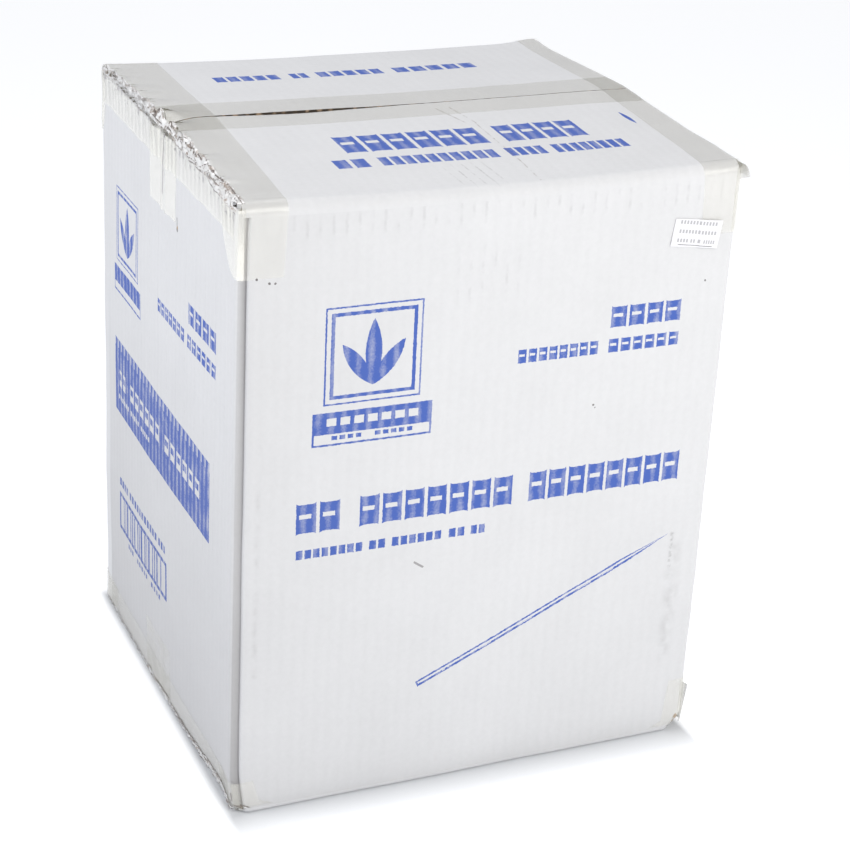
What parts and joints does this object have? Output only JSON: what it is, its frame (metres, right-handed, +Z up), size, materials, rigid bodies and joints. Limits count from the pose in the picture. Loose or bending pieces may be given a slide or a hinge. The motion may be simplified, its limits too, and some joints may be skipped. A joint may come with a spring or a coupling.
{
  "type": "sealed corrugated shipping carton",
  "caption": "Upright white corrugated shipping carton, closed and sealed with clear packing tape along its seams and end edges.",
  "frame": {"origin": "on the floor, under the middle of the carton's base", "axes": "+X to the right along the front wall, +Y from the front wall to the back wall, +Z up"},
  "size_m": [0.3304, 0.2988, 0.4105],
  "materials": {
    "board": "matte white-faced corrugated board with blue print",
    "tape": "clear film tape, yellowish grey, half gloss",
    "label": "smooth white paper"
  },
  "bodies": {
    "root": {"carton": "board", "top_seam_tape": "tape", "top_left_tape": "tape", "top_right_tape": "tape", "bottom_seam_tape": "tape", "bottom_left_tape": "tape", "bottom_right_tape": "tape", "lot_label": "label"}
  },
  "joints": []
}
